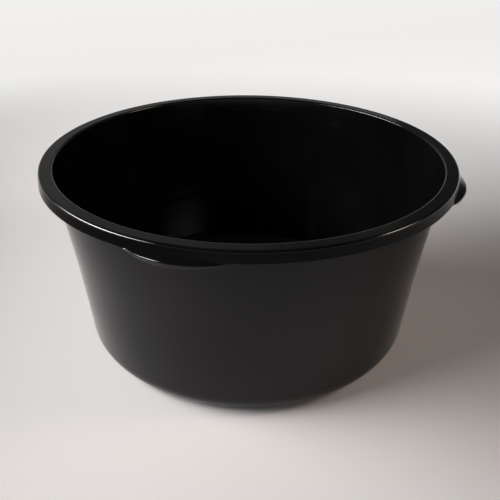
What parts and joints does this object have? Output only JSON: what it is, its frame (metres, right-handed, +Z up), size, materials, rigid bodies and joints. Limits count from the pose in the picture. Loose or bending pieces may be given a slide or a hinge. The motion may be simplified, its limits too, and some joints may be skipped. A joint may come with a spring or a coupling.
{
  "type": "mortar mixing tub",
  "caption": "Round, slightly tapered black plastic tub with an open top, a flat rim with a turned-down skirt, and finger grips moulded under the rim.",
  "frame": {"origin": "middle of the base, on the ground that the foot ring stands on", "axes": "+Z up along the tub's axis, out of the open mouth; the finger grips face +X, +Y, -X and -Y"},
  "size_m": [0.6456, 0.6456, 0.297],
  "materials": {
    "black_plastic": "satin"
  },
  "bodies": {
    "root": {"floor_panel": "black_plastic", "foot_ring": "black_plastic", "heel": "black_plastic", "side_wall": "black_plastic", "rim_flange": "black_plastic", "rim_skirt_back_right": "black_plastic", "rim_skirt_back_left": "black_plastic", "rim_skirt_front_left": "black_plastic", "rim_skirt_front_right": "black_plastic", "grip_right": "black_plastic", "grip_lip_right": "black_plastic", "grip_back": "black_plastic", "grip_lip_back": "black_plastic", "grip_left": "black_plastic", "grip_lip_left": "black_plastic", "grip_front": "black_plastic", "grip_lip_front": "black_plastic"}
  },
  "joints": []
}
